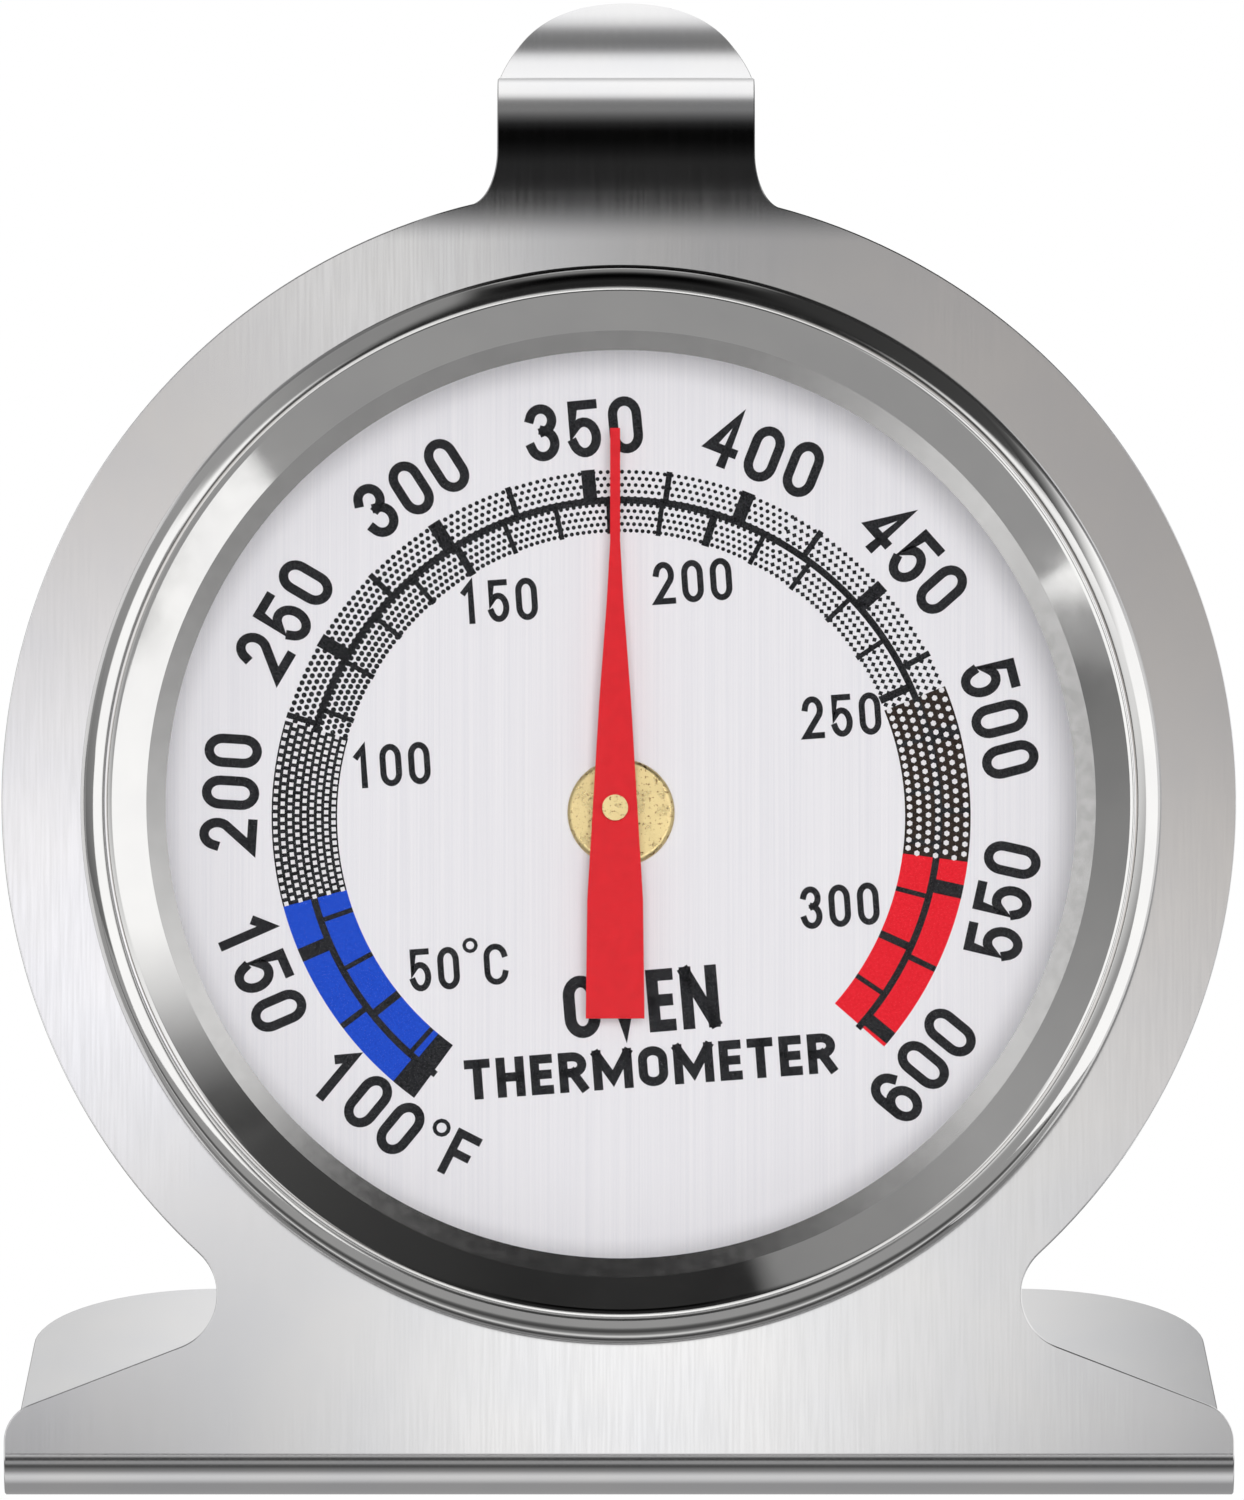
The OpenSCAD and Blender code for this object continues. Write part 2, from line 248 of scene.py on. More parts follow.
def matte_steel():
    """The trimmed lip of the bezel, left dull by the press."""
    recipe = Recipe("matte_steel", (0.55, 0.545, 0.54), Metallic=1)
    recipe.vary_colour(recipe.noise(1), (0.53, 0.525, 0.52), (0.56, 0.555, 0.55))
    recipe.vary_roughness(recipe.noise(0.5), 0.2, 0.24)
    return recipe.material


def pressed_steel():
    """Drawn sheet of the rear shell, duller than the front."""
    recipe = Recipe("pressed_steel", (0.58, 0.58, 0.58), Metallic=1)
    recipe.vary_colour(recipe.noise(5), (0.54, 0.54, 0.545), (0.62, 0.615, 0.61))
    recipe.vary_roughness(recipe.noise(0.8), 0.24, 0.34)
    recipe.bump(recipe.noise(0.5), 0.002)
    return recipe.material


def plated_steel():
    """Zinc-plated sheet inside the case."""
    recipe = Recipe("plated_steel", (0.6, 0.61, 0.63), Metallic=1)
    recipe.vary_colour(recipe.noise(1.2), (0.5, 0.51, 0.54), (0.66, 0.66, 0.67))
    recipe.vary_roughness(recipe.noise(0.4), 0.28, 0.42)
    return recipe.material


def rivet_steel():
    recipe = Recipe("rivet_steel", (0.66, 0.66, 0.67), Metallic=1)
    recipe.vary_colour(recipe.noise(0.5), (0.55, 0.55, 0.56), (0.7, 0.7, 0.71))
    recipe.vary_roughness(recipe.noise(0.2), 0.22, 0.36)
    return recipe.material


def brass():
    """Turned brass with small pits and darker spots."""
    recipe = Recipe("brass", (0.53, 0.41, 0.2), Metallic=1)
    recipe.vary_colour(recipe.noise(0.18), (0.2, 0.12, 0.05), (0.54, 0.43, 0.22), 0.32, 0.42)
    recipe.vary_roughness(recipe.noise(0.5), 0.25, 0.4)
    recipe.bump(recipe.noise(0.6), 0.006)
    return recipe.material


def bimetal():
    """Strip with a straw-coloured tint from heat."""
    recipe = Recipe("bimetal", (0.6, 0.52, 0.4), Metallic=1)
    recipe.vary_colour(recipe.noise(2), (0.55, 0.48, 0.38), (0.66, 0.6, 0.5))
    recipe.vary_roughness(recipe.noise(0.3, (1, 1, 12)), 0.25, 0.38)
    return recipe.material


def window_glass():
    """Clear window, with far less reflection than real glass, as the photograph shows hardly any."""
    colour = (0.99, 0.995, 0.99)
    recipe = Recipe("window_glass", colour, Transmission_Weight=1, IOR=1.05, Specular_IOR_Level=0.1)
    recipe.vary_roughness(recipe.noise(8), 0, 0.01)
    return recipe.material


def dial_enamel():
    """Pale lacquered aluminium, brushed up and down."""
    recipe = Recipe("dial_enamel", (0.8, 0.78, 0.81), Roughness=0.5, Specular_IOR_Level=0.3)
    brushing = recipe.noise(0.1, (1, 200, 200), detail=4)
    recipe.vary_colour(brushing, (0.755, 0.74, 0.78), (0.82, 0.8, 0.83), 0.3, 0.7)
    recipe.bump(brushing, 0.001)
    return recipe.material


def ink(name, dark, light):
    """Screen-printed ink, a little uneven."""
    recipe = Recipe(name, dark, Roughness=0.5, Specular_IOR_Level=0.1)
    recipe.vary_colour(recipe.noise(0.1), dark, light)
    return recipe.material


def red_enamel():
    recipe = Recipe("red_enamel", (0.64, 0.008, 0.015), Roughness=0.4, Specular_IOR_Level=0.2)
    recipe.vary_colour(recipe.noise(0.6), (0.61, 0.007, 0.014), (0.67, 0.009, 0.017))
    recipe.bump(recipe.noise(0.4), 0.001)
    return recipe.material


SATIN = satin_steel()
BRIGHT = bright_steel()
MATTE = matte_steel()
FINISHES = {
    "stainless_stand": SATIN,
    "stainless_bezel": BRIGHT,
    "glass": window_glass(),
    "inner_steel": plated_steel(),
    "dial_face": dial_enamel(),
    "case_steel": pressed_steel(),
    "brass": brass(),
    "bimetal": bimetal(),
    "rivet_steel": rivet_steel(),
    "pointer_red": red_enamel(),
}


def finish_frame():
    """Gives each CAD node the finish of its own material slot."""
    for made in frame["nodes"].values():
        for place in made.material_slots:
            place.material = FINISHES[place.material.name.split(".")[0]]


# ---- Stand: one flat blank of sheet, folded

PLATE_R = 31
HOLE_R = 25.65
PLATE_DROP = 32.75
FOOT_HALF_W = 30.8
FOOT_TAPER = 0.7
FOOT_CORNER_R = 9.5
NECK_HALF_W = 20.15
NOTCH_R = 2.8
SHOULDER_SLOPE = 21
SHOULDER_R = 2
HOOK_W = 13
HOOK_X = 0.35
HOOK_FILLET_R = 1.5
# How much longer the fillet is up the hook than across the plate
HOOK_FLARE = 1.9
# Length of the hook's end, half an ellipse
HOOK_END = 9.5
SHEET = 0.5
# How far in from its outline the sheet's edge is rounded
EDGE = 0.07
# Stretches up from the plate's centre and down from it: a straight length, then a bend with its
# centreline radius and its turn in degrees. The hook's were fitted to where its reflections fall
# in the photograph, and are closer than the CAD's own.
HOOK_STRETCHES = [
    (28.2, 32, -4.5), (0, 6.87, -40.5), (0, 7.52, -25), (0, 2.51, -34.9), (0, 2.96, 40.8),
    (0.85, 12.9, 17.3), (0, 16.8, -13.6)
]
FOOT_BEND_R = 1.75
FOOT_FLAT = 33
FOOT_STRETCHES = [(PLATE_DROP, FOOT_BEND_R, 90 + LEAN), (FOOT_FLAT, 0, 0)]
# The most that one flat strip of a bend turns, in degrees
BEND_STEP = 2.5


def length(stretches):
    return sum(straight + bend * radians(abs(turn)) for straight, bend, turn in stretches)


HOOK_TIP = length(HOOK_STRETCHES)
FOOT_REAR = -length(FOOT_STRETCHES)
FOOT_TOP = FOOT_REAR + FOOT_FLAT


def half_outline(side):
    """One side of the blank, from the hook's tip down to the foot's rear edge."""
    notch = Vector((NECK_HALF_W + NOTCH_R, 0))
    notch.y = -sqrt((PLATE_R + NOTCH_R) ** 2 - notch.x ** 2)
    fillet = Vector((HOOK_W / 2 + HOOK_FILLET_R + side * HOOK_X, 0))
    fillet.y = sqrt((PLATE_R + HOOK_FILLET_R) ** 2 - fillet.x ** 2)
    end_start = Vector((side * HOOK_X, HOOK_TIP - HOOK_END))
    end = [end_start + Vector((HOOK_W / 2 * p.x, HOOK_END * p.y)) for p in arc((0, 0), 1, 90, 0, 3)]
    fillet_end = degrees(atan2(fillet.y, fillet.x))
    flare = arc(fillet, HOOK_FILLET_R, 180, 180 + fillet_end)
    flare = [Vector((p.x, flare[-1].y + HOOK_FLARE * (p.y - flare[-1].y))) for p in flare]
    notch_start = degrees(atan2(notch.y, notch.x))
    slope = tan(radians(SHOULDER_SLOPE))
    notch_foot = notch + NOTCH_R * toward(270 - SHOULDER_SLOPE)
    shoulder_cut = SHOULDER_R * tan(radians(45 - SHOULDER_SLOPE / 2))
    shoulder_y = notch_foot.y - (FOOT_HALF_W - notch_foot.x) * slope - shoulder_cut
    corner = Vector((FOOT_HALF_W - FOOT_TAPER - FOOT_CORNER_R, FOOT_REAR + FOOT_CORNER_R))
    right = (
        end
        + flare
        + arc((0, 0), PLATE_R, fillet_end, notch_start, 1.5)[1:-1]
        + arc(notch, NOTCH_R, notch_start + 180, 270 - SHOULDER_SLOPE)
        + arc((FOOT_HALF_W - SHOULDER_R, shoulder_y), SHOULDER_R, 90 - SHOULDER_SLOPE, 0)
        + [Vector((FOOT_HALF_W, FOOT_TOP))]
        + arc(corner, FOOT_CORNER_R, 0, -90)
    )
    return [Vector((side * p.x, p.y)) for p in right]


def cut_across(bm, place):
    """Cuts every face that a level line crosses, at a place along the blank."""
    everything = bm.verts[:] + bm.edges[:] + bm.faces[:]
    level = {"plane_co": (0, place, 0), "plane_no": (0, 1, 0)}
    bmesh.ops.bisect_plane(bm, geom=everything, dist=0.001, **level)


def flat_blank():
    """The blank with its round hole, cut across wherever it will bend."""
    bm = bmesh.new()
    outline = half_outline(1) + half_outline(-1)[::-1][:-1]
    hole = arc(CASE, HOLE_R, 360, 0, 2)[:-1]
    inner_edges = []
    for loop in (outline, hole):
        inset = [p - EDGE * step for p, step in zip(loop, left_of(loop, True))]
        outer = [bm.verts.new((p.x, p.y, 0)) for p in loop]
        inner = [bm.verts.new((p.x, p.y, 0)) for p in inset]
        for i in range(len(loop)):
            bm.faces.new((outer[i - 1], inner[i - 1], inner[i], outer[i]))
            inner_edges.append(bm.edges.get((inner[i - 1], inner[i])))
    bmesh.ops.triangle_fill(bm, edges=inner_edges, use_beauty=True)
    for way, stretches in ((1, HOOK_STRETCHES), (-1, FOOT_STRETCHES)):
        start = 0
        for straight, bend, turn in stretches:
            start += straight
            count = ceil(abs(turn) / BEND_STEP)
            for i in range(count + 1 if count else 0):
                cut_across(bm, way * (start + bend * radians(abs(turn)) * i / count))
            start += bend * radians(abs(turn))
    return bm


def folded(place):
    """Where a place along the blank comes to lie, as (u, w), with the ways up the sheet and out of it."""
    heading, out = (0, 90) if place >= 0 else (180, -90)
    at = Vector((0, -SHEET / 2))
    left = abs(place)
    for straight, bend, turn in HOOK_STRETCHES if place >= 0 else FOOT_STRETCHES:
        ahead = min(left, straight)
        at = at + ahead * toward(heading)
        left -= ahead
        share = min(1, left / (bend * radians(abs(turn)))) if turn else 0
        side = 90 if turn > 0 else -90
        middle = at + bend * toward(heading + side)
        heading += turn * share
        at = middle - bend * toward(heading + side)
        left -= bend * radians(abs(turn)) * share
        if left <= 0.00001:
            break
    front = toward(heading + out)
    return at, Vector((front.y, -front.x)), front


def sideways_out(flat):
    """For a corner on the blank's outline, the way out of it in the blank's plane."""
    out = Vector((0, 0, 0))
    for edge in flat.link_edges:
        if len(edge.link_faces) == 1:
            across = (edge.verts[1].co - edge.verts[0].co).cross(Vector((0, 0, 1)))
            inside = edge.link_faces[0].calc_center_median() - edge.verts[0].co
            out += across.normalized() * (-1 if across.dot(inside) > 0 else 1)
    return out.normalized() if out.length > 0.1 else None


def stand():
    """Folds the blank: each of its points gives one on the front and one on the back."""
    blank = flat_blank()
    points, shading = [], []
    for i, flat in enumerate(blank.verts):
        flat.index = i
        at, up, front = folded(flat.co.y)
        rim = sideways_out(flat)
        half = SHEET / 2 - (EDGE if rim else 0)
        front3 = Vector((0, *front))
        out3 = Vector((rim.x, *(rim.y * up))) if rim else Vector((0, 0, 0))
        for side in (1, -1):
            points.append((flat.co.x, *(at + side * half * front)))
            shading.append((side * front3 + out3).normalized())
    faces, normals = [], []
    for flat in blank.faces:
        ring = [v.index for v in flat.verts]
        if flat.normal.z < 0:
            ring.reverse()
        for side, corners in ((0, ring), (1, ring[::-1])):
            faces.append([2 * i + side for i in corners])
            normals += [shading[i] for i in faces[-1]]
    for edge in blank.edges:
        if len(edge.link_faces) == 1:
            a, b = (v.index for v in edge.verts)
            across = (edge.verts[1].co - edge.verts[0].co).cross(Vector((0, 0, 1)))
            if across.dot(edge.link_faces[0].calc_center_median() - edge.verts[0].co) > 0:
                a, b = b, a
            faces.append([2 * a, 2 * b, 2 * b + 1, 2 * a + 1][::-1])
            normals += [shading[i] for i in faces[-1]]
    blank.free()
    mesh = bpy.data.meshes.new("bent_stand")
    mesh.from_pydata(points, [], faces)
    made = piece("bent_stand", mesh, "case", SATIN, 180)
    turned = FACE.to_3x3().normalized()
    mesh.normals_split_custom_set([turned @ n for n in normals])
    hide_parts("stand")


# ---- Case

RIM_R = 27.1
RIM_H = 2.5
LIP_R = 22.9
TUBE_R = 25.2
FUNNEL_SLOPE = 38.5
FUNNEL_FOOT_R = 23.9
LIP_FALL = 0.3
SKIN = 0.4
FOLD_R = 0.4
RIM_ROUND_R = 1.1
CREST_R = 0.35


def bezel():
    """Front shell: a tube folded out over the plate, round the rim and in as a funnel."""
    wall = RIM_R - SKIN / 2
    crest = Vector((wall - RIM_ROUND_R, RIM_H - SKIN / 2))
    funnel = arc(crest - Vector((0, CREST_R)), CREST_R, 90, 90 + FUNNEL_SLOPE)
    fall = (funnel[-1].x - FUNNEL_FOOT_R) * tan(radians(FUNNEL_SLOPE))
    foot = Vector((FUNNEL_FOOT_R, funnel[-1].y - fall))
    centreline = (
        [Vector((TUBE_R, heights("dial_plate")[0] + 0.1))]
        + arc((TUBE_R + FOLD_R, SKIN / 2 - FOLD_R), FOLD_R, 180, 90, 10)
        + arc((wall - FOLD_R, SKIN / 2 + FOLD_R), FOLD_R, -90, 0, 10)
        + arc(crest - Vector((0, RIM_ROUND_R)), RIM_ROUND_R, 0, 87, 3)
        + funnel
        + [foot, Vector((LIP_R, foot.y - LIP_FALL))]
    )
    mesh = lathe("bezel_shell", thickened(centreline, SKIN))
    made = piece("bezel_shell", mesh, "case", BRIGHT, 15)
    mesh.materials.append(MATTE)
    middle = FACE @ Vector((*CASE, 0))
    for face in mesh.polygons:
        out_from_axis = face.center - middle
        if (out_from_axis - out_from_axis.dot(OUT) * OUT).length < MM * FUNNEL_FOOT_R:
            face.material_index = 1
    even_shading(made)
    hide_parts("bezel")


def set_glass():
    """Light and shadow pass the clear window; only the eye and reflections meet it."""
    glass = frame["nodes"]["window_glass"]
    glass.visible_shadow = False
    glass.visible_diffuse = False


# ---- Dial print: closed outlines of each ink, in the dial's plane around its printed centre

PRINT_CENTRE = Vector((0.1, -0.6))
BAND_IN = 14.3
BAND_MIDDLE = 16
BAND_OUT = 17.6
BAND_START = -143.75
# How many degrees of the band are black before the blue
BAND_HEAD = 3.75
BAND_END = 131.25
BLUE_END = -105
DIAMONDS_END = -74
COARSE_DOTS = 30
HONEYCOMB = 68
RED_START = 97.5
# Degrees of the dial to a degree Fahrenheit, and where 350 stands
SCALE_STEP = 0.54
SCALE_350 = -5.5
# Sizes of the digits in millimetres, and what of their height is width, stroke and gap
FAHRENHEIT_DIGITS = {"tall": 2.9, "width": 0.58, "stroke": 0.165, "gap": 0.15}
CELSIUS_DIGITS = {"tall": 2.15, "width": 0.51, "stroke": 0.145, "gap": 0.16}

prints = {"black": [], "blue": [], "red": [], "pale": [], "umber": []}


def polar(angle, radius):
    """A point of the dial, angle clockwise from the top."""
    return radius * toward(90 - angle)


def patch(colour, start, end, inner, outer):
    """Part of a ring between two angles."""
    steps = ceil((end - start) / 2)
    angles = [start + (end - start) * i / steps for i in range(steps + 1)]
    for a, b in zip(angles, angles[1:]):
        prints[colour].append([polar(a, inner), polar(a, outer), polar(b, outer), polar(b, inner)])


def dot(colour, middle, radius, sides=10, turn=0):
    prints[colour].append([middle + radius * toward(turn + 360 * i / sides) for i in range(sides)])


def ribbon(colour, points, width, closed=False):
    """A line of even width with square ends."""
    points = [Vector(p) for p in points]
    if not closed:
        points[0] = points[0] + (points[0] - points[1]).normalized() * width / 2
        points[-1] = points[-1] + (points[-1] - points[-2]).normalized() * width / 2
    sides = left_of(points, closed)
    left = [p + s * width / 2 for p, s in zip(points, sides)]
    right = [p - s * width / 2 for p, s in zip(points, sides)]
    for i in range(0 if closed else 1, len(points)):
        prints[colour].append([left[i - 1], left[i], right[i], right[i - 1]])


def tick(angle, inner, outer, width):
    a, b = polar(angle, inner + width / 2), polar(angle, outer - width / 2)
    ribbon("black", [a, b], width)


def fahrenheit(value):
    """Where a temperature stands on the dial, clockwise from the top."""
    return SCALE_350 + SCALE_STEP * (value - 350)


def celsius(value):
    return fahrenheit(32 + 1.8 * value)


def screen(colour, start, end, pitch, size, sides=10, turn=0, inner=BAND_IN, outer=BAND_OUT):
    """Rings of dots, each half a step on from the last; size gives a dot's radius at an angle."""
    rows = max(1, round((outer - inner) / pitch))
    steps = max(1, round(radians(end - start) * BAND_MIDDLE / pitch))
    for row in range(rows):
        radius = inner + (row + 0.5) * (outer - inner) / rows
        for step in range(steps):
            angle = start + (end - start) * (step + 0.25 + 0.5 * (row % 2)) / steps
            dot(colour, polar(angle, radius), size(angle), sides, turn - angle)


def dot_radius(angle):
    """Dots shrink from the left of the band towards its top."""
    share = min(1, max(0, (angle + 60) / 55))
    return 0.135 - 0.03 * share


def print_band():
    """The ring between the scales: blue, dots of four kinds and red, with both scales' lines."""
    patch("blue", BAND_START + BAND_HEAD, BLUE_END, BAND_IN, BAND_OUT)
    patch("red", RED_START, BAND_END, BAND_IN, BAND_OUT)
    patch("black", BAND_START, BAND_START + BAND_HEAD, BAND_IN, BAND_OUT)
    patch("black", BLUE_END, DIAMONDS_END, BAND_IN, BAND_OUT)
    screen("pale", BLUE_END, DIAMONDS_END, 0.37, lambda angle: 0.15, 4, 45)
    screen("black", DIAMONDS_END, COARSE_DOTS, 0.33, dot_radius)
    screen("black", COARSE_DOTS, HONEYCOMB, 0.355, lambda angle: 0.14, 4)
    patch("umber", HONEYCOMB, RED_START, BAND_IN, BAND_OUT)
    screen("pale", HONEYCOMB, RED_START, 0.45, lambda angle: 0.15, 6)
    steps = 140
    turns = [BAND_START + (BAND_END - BAND_START) * i / steps for i in range(steps + 1)]
    ribbon("black", [polar(turn, BAND_MIDDLE) for turn in turns], 0.35)
    for value in range(100, 601, 25):
        tick(fahrenheit(value), BAND_MIDDLE, BAND_OUT, 0.3 if value % 50 else 0.7)
    for value in range(40, 311, 10):
        tick(celsius(value), BAND_IN, BAND_MIDDLE, 0.25 if value % 50 else 0.4)


def bow(x, y, across, up, start, end):
    """An elliptical arc of a letter, inside a square of side 1."""
    return [Vector((x + across * p.x, y + up * p.y)) for p in arc((0, 0), 1, start, end, 15)]


ROUND = bow(0.5, 0.72, 0.5, 0.28, 0, 180) + bow(0.5, 0.28, 0.5, 0.28, 180, 360) + [Vector((1, 0.72))]
# Each letter's strokes, inside a square of side 1
GLYPHS = {
    "0": [ROUND],
    "O": [ROUND],
    "1": [[(0.2, 0.8), (0.6, 1), (0.6, 0)]],
    "2": [bow(0.5, 0.72, 0.48, 0.28, 170, -35) + [(0, 0), (1, 0)]],
    "3": [bow(0.5, 0.76, 0.46, 0.24, 165, -80), bow(0.5, 0.27, 0.5, 0.27, 80, -165)],
    "4": [[(0.74, 0), (0.74, 1), (0, 0.27), (1, 0.27)]],
    "5": [[(0.94, 1), (0.1, 1), (0.05, 0.48)] + bow(0.5, 0.32, 0.5, 0.32, 135, -160)],
    "6": [bow(0.5, 0.3, 0.5, 0.3, 0, 360), [(0, 0.3), (0, 0.7)] + bow(0.5, 0.72, 0.5, 0.28, 180, 20)],
    "C": [bow(0.5, 0.72, 0.5, 0.28, 10, 180) + bow(0.5, 0.28, 0.5, 0.28, 180, 350)],
    "F": [[(0, 0), (0, 1), (1, 1)], [(0, 0.5), (0.85, 0.5)]],
    "V": [[(0, 1), (0.5, 0), (1, 1)]],
    "E": [[(1, 1), (0, 1), (0, 0), (1, 0)], [(0, 0.5), (0.9, 0.5)]],
    "N": [[(0, 0), (0, 1)], [(0, 1), (1, 0)], [(1, 0), (1, 1)]],
    "T": [[(0, 1), (1, 1)], [(0.5, 1), (0.5, 0)]],
    "H": [[(0, 0), (0, 1)], [(1, 0), (1, 1)], [(0, 0.5), (1, 0.5)]],
    "R": [[(0, 0), (0, 1)] + bow(0.5, 0.74, 0.5, 0.26, 90, -90) + [(0, 0.48)], [(0.5, 0.48), (1, 0)]],
    "M": [[(0, 0), (0, 1)], [(0, 1), (0.5, 0.2), (1, 1)], [(1, 1), (1, 0)]],
}


def letter(shape, middle, width, tall, stroke, turn):
    """One letter; turn is clockwise."""
    spin = Matrix.Rotation(radians(-turn), 2)
    for points in GLYPHS[shape]:
        wide, high = width - stroke, tall - stroke
        placed = [Vector(((x - 0.5) * wide, (y - 0.5) * high)) for x, y in points]
        closed = (Vector(points[0]) - Vector(points[-1])).length < 0.001
        if closed:
            placed = placed[:-1]
        ribbon("black", [middle + spin @ p for p in placed], stroke, closed)


def word(text, middle, tall, turn, widths, stroke, gap):
    """Letters in a row around a middle; widths gives each one's width."""
    along = Matrix.Rotation(radians(-turn), 2) @ Vector((1, 0))
    sizes = [widths(shape) for shape in text]
    at = -(sum(sizes) + gap * (len(sizes) - 1)) / 2
    for shape, width in zip(text, sizes):
        letter(shape, middle + (at + width / 2) * along, width, tall, stroke, turn)
        at += width + gap


def number(text, middle, turn, tall, width, stroke, gap):
    """Digits of even width; all sizes but tall are shares of it."""
    word(text, middle, tall, turn, lambda digit: width * tall, stroke * tall, gap * tall)


def degree(middle, radius, width):
    ribbon("black", [middle + radius * toward(30 * i) for i in range(12)], width, True)


def print_fahrenheit():
    for value in range(150, 601, 50):
        angle = fahrenheit(value)
        inward = abs(angle) > 95
        number(str(value), polar(angle, 19.7), angle + 180 * inward, **FAHRENHEIT_DIGITS)
    number("100", polar(-138.5, 19.2), 39.5, **FAHRENHEIT_DIGITS)
    degree(polar(-150.1, 18.1), 0.36, 0.2)
    letter("F", polar(-154.6, 18.9), 1.35, 2.46, 0.42, 27)


def print_celsius():
    places = {
        50: (-9.4, -7.7), 100: (-11.6, 2.6), 150: (-6.2, 10.9),
        200: (3.6, 11.9), 250: (11.1, 5.1), 300: (11, -4.5)
    }
    for value, place in places.items():
        number(str(value), Vector(place), -4, **CELSIUS_DIGITS)
    degree(Vector((-7.6, -6.5)), 0.3, 0.18)
    letter("C", Vector((-6.3, -7.45)), 1.2, 2.08, 0.3, -4)


def print_name():
    """What the instrument is, in two lines."""
    oven = {"O": 1.82, "V": 1.75, "E": 1.37, "N": 1.88}
    word("OVEN", Vector((1, -9.35)), 3.16, -4.8, oven.get, 0.6, 0.33)
    wide = {"T": 1.3, "H": 1.41, "E": 1.13, "R": 1.41, "M": 2, "O": 1.48}
    word("THERMOMETER", Vector((1.47, -12.6)), 2.02, -4.35, wide.get, 0.46, 0.3)


def print_dial():
    """Draws all the print, then makes each ink one piece, at its own height over the dial."""
    print_band()
    print_fahrenheit()
    print_celsius()
    print_name()
    inks = {
        "blue": (ink("ink_blue", (0.01, 0.055, 0.5), (0.015, 0.08, 0.6)), 0.008),
        "red": (ink("ink_red", (0.72, 0.01, 0.02), (0.82, 0.02, 0.035)), 0.008),
        "umber": (ink("ink_umber", (0.012, 0.007, 0.006), (0.03, 0.02, 0.015)), 0.008),
        "black": (ink("ink_black", (0.003, 0.003, 0.004), (0.025, 0.025, 0.028)), 0.012),
        "pale": (ink("ink_pale", (0.72, 0.7, 0.72), (0.8, 0.78, 0.8)), 0.016),
    }
    dial_front = heights("dial_plate")[1]
    for colour, (material, lift) in inks.items():
        bm = bmesh.new()
        for outline in prints[colour]:
            corners = [(*(PRINT_CENTRE + p), dial_front + lift) for p in outline]
            face = bm.faces.new([bm.verts.new(corner) for corner in corners])
            face.normal_update()
            if face.normal.z < 0:
                face.normal_flip()
        piece(f"print_{colour}", mesh_from(bm, f"print_{colour}"), "case", material)


# ---- Camera, floor and light

# Where the camera is: degrees above level and metres from what it looks at
CAMERA_RISE = 15.5
CAMERA_FAR = 0.9
CAMERA_LENS = 430.3
# What the camera looks at: millimetres right of and above the plate's centre, in the picture
AIM_RIGHT = 0.146
AIM_UP = 2.535
# Elevation of what the plate mirrors to the camera
REFLECTED_RISE = 2 * LEAN - CAMERA_RISE


def rising(angle):
    """The way from the thermometer towards a place in front of it, at an elevation."""
    return Vector((0, -cos(radians(angle)), sin(radians(angle))))


def look_from(made, place, target):
    """Places a camera or light with its -Z towards a target and +X to the right."""
    made.location = place
    made.rotation_euler = (Vector(target) - Vector(place)).to_track_quat("-Z", "Y").to_euler()


def camera():
    view = bpy.data.objects.new("camera", bpy.data.cameras.new("camera"))
    bpy.context.scene.collection.objects.link(view)
    view.data.sensor_width = 36
    view.data.lens = CAMERA_LENS
    view.data.clip_start = 0.01
    plate_centre = FACE @ Vector((0, 0, 0))
    image_up = Vector((0, sin(radians(CAMERA_RISE)), cos(radians(CAMERA_RISE))))
    target = plate_centre + MM * (AIM_RIGHT * ACROSS + AIM_UP * image_up)
    look_from(view, target + CAMERA_FAR * rising(CAMERA_RISE), target)
    bpy.context.scene.camera = view


def emitter(name):
    """An emission-only node material; returns it, its tree and its emission node."""
    made = bpy.data.materials.new(name)
    made.use_nodes = True
    tree = made.node_tree
    tree.nodes.remove(tree.nodes["Principled BSDF"])
    glow = tree.nodes.new("ShaderNodeEmission")
    tree.links.new(glow.outputs["Emission"], tree.nodes["Material Output"].inputs["Surface"])
    return made, tree, glow


def ramp(tree, stops, factor):
    """A colour ramp from {position: grey or colour} stops."""
    node = tree.nodes.new("ShaderNodeValToRGB")
    elements = node.color_ramp.elements
    while len(elements) > 1:
        elements.remove(elements[-1])
    for i, (position, value) in enumerate(sorted(stops.items())):
        element = elements[0] if i == 0 else elements.new(position)
        element.position = position
        colour = value if isinstance(value, tuple) else (value, value, value)
        element.color = (*colour, 1)
    tree.links.new(factor, node.inputs["Fac"])
    return node.outputs["Color"]


def panel(name, middle, right, up, corners):
    """A stage panel that only reflections and light see; its own X runs right, its Y up."""
    bm = bmesh.new()
    bm.faces.new([bm.verts.new((x, y, 0)) for x, y in corners])
    made = bpy.data.objects.new(name, mesh_from(bm, name))
    bpy.context.scene.collection.objects.link(made)
    right, up = Vector(right), Vector(up)
    turn = Matrix((right, up, right.cross(up))).transposed().to_4x4()
    made.matrix_world = Matrix.Translation(middle) @ turn
    made.visible_camera = False
    made.visible_shadow = False
    made.visible_diffuse = False
    return made


def arithmetic(tree, operation, a, b=0.0):
    """One sum of numbers or sockets."""
    node = tree.nodes.new("ShaderNodeMath")
    node.operation = operation
    for socket, value in zip(node.inputs, (a, b)):
        if isinstance(value, (int, float)):
            socket.default_value = value
        else:
            tree.links.new(value, socket)
    return node.outputs["Value"]


def spread(tree, value, low, high):
    """A number taken from low..high to 0..1, with a soft start and end."""
    node = tree.nodes.new("ShaderNodeMapRange")
    node.interpolation_type = "SMOOTHSTEP"
    node.inputs["From Min"].default_value = low
    node.inputs["From Max"].default_value = high
    tree.links.new(value, node.inputs["Value"])
    return node.outputs["Result"]


